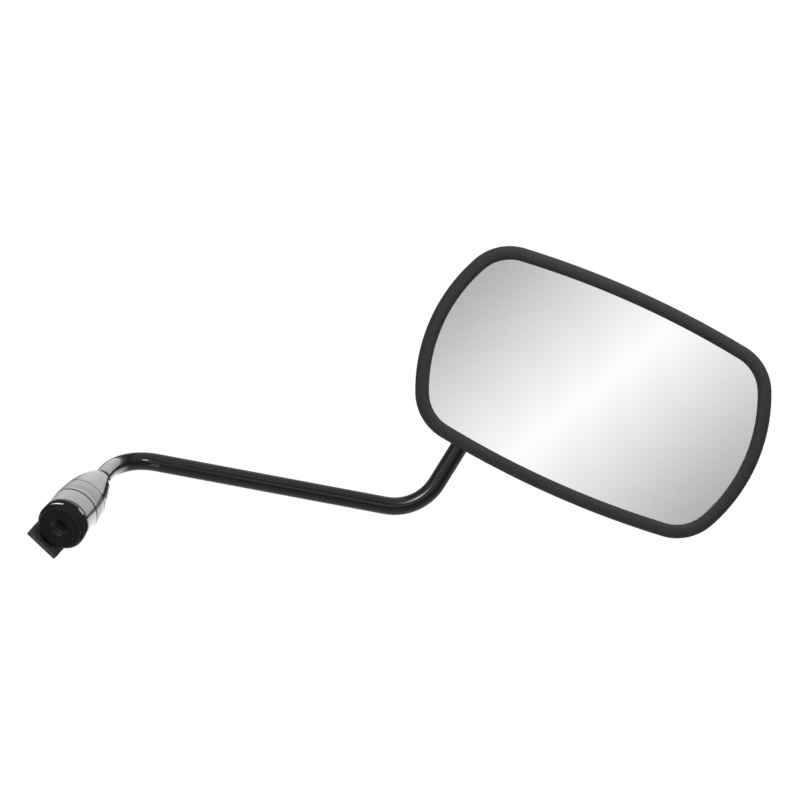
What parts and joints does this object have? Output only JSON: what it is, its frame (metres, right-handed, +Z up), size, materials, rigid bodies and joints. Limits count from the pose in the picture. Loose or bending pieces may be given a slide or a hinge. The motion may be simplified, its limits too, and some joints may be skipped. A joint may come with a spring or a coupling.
{
  "type": "rear-view mirror",
  "caption": "Motorbike rear-view mirror: pillow-shaped convex glass in a rubber rim, on a ball joint at the end of a twice-bent gloss black rod with a keyed, threaded foot.",
  "frame": {"origin": "centre of the foot's seating face, on the axis of its tapped hole", "axes": "as it stands in use on the right-hand side: +X outboard along the head's length, +Y ahead, +Z up; the glass faces the rider, towards -Y"},
  "size_m": [0.3554, 0.089, 0.2744],
  "materials": {
    "cast_black": "semi-gloss black",
    "gloss_black_plastic": "gloss",
    "gloss_black_paint": "gloss",
    "plated_steel": "zinc plated",
    "bright_steel": "polished",
    "nylon": "satin",
    "black_moulding": "fine grain",
    "foam": "matte",
    "mirror": "silvered",
    "rim_rubber": "matte"
  },
  "bodies": {
    "foot": {"foot": "cast_black", "foot_collar": "gloss_black_plastic"},
    "stem": {"stem": "gloss_black_paint", "stem_boot": "gloss_black_plastic", "lock_nut": "plated_steel", "lock_washer": "plated_steel", "ball": "bright_steel"},
    "pan_pad": {"ball_pad_rear": "nylon"},
    "tip_pad": {"ball_pad_front": "nylon"},
    "head": {"ball_clamp": "black_moulding", "clamp_washers": "plated_steel", "clamp_screws": "plated_steel", "housing": "black_moulding", "glass_pad": "foam", "mirror_glass": "mirror", "rim_gasket": "rim_rubber"}
  },
  "joints": [
    {"name": "stem_swivel", "type": "hinge", "parent": "foot", "child": "stem", "pos_m": [0, 0, 0], "axis": [0.1684, 0.7659, 0.6205], "range_deg": [-45, 45]},
    {"name": "head_pan", "type": "hinge", "parent": "stem", "child": "pan_pad", "pos_m": [0.18695, 0.06288, 0.15703], "axis": [0.1219, 0, 0.9925], "continuous": true},
    {"name": "head_tip", "type": "hinge", "parent": "pan_pad", "child": "tip_pad", "pos_m": [0.18695, 0.06288, 0.15703], "axis": [1, 0, 0], "range_deg": [-10, 10]},
    {"name": "head_roll", "type": "hinge", "parent": "tip_pad", "child": "head", "pos_m": [0.18695, 0.06288, 0.15703], "axis": [0, 1, 0], "range_deg": [-10, 10]}
  ]
}
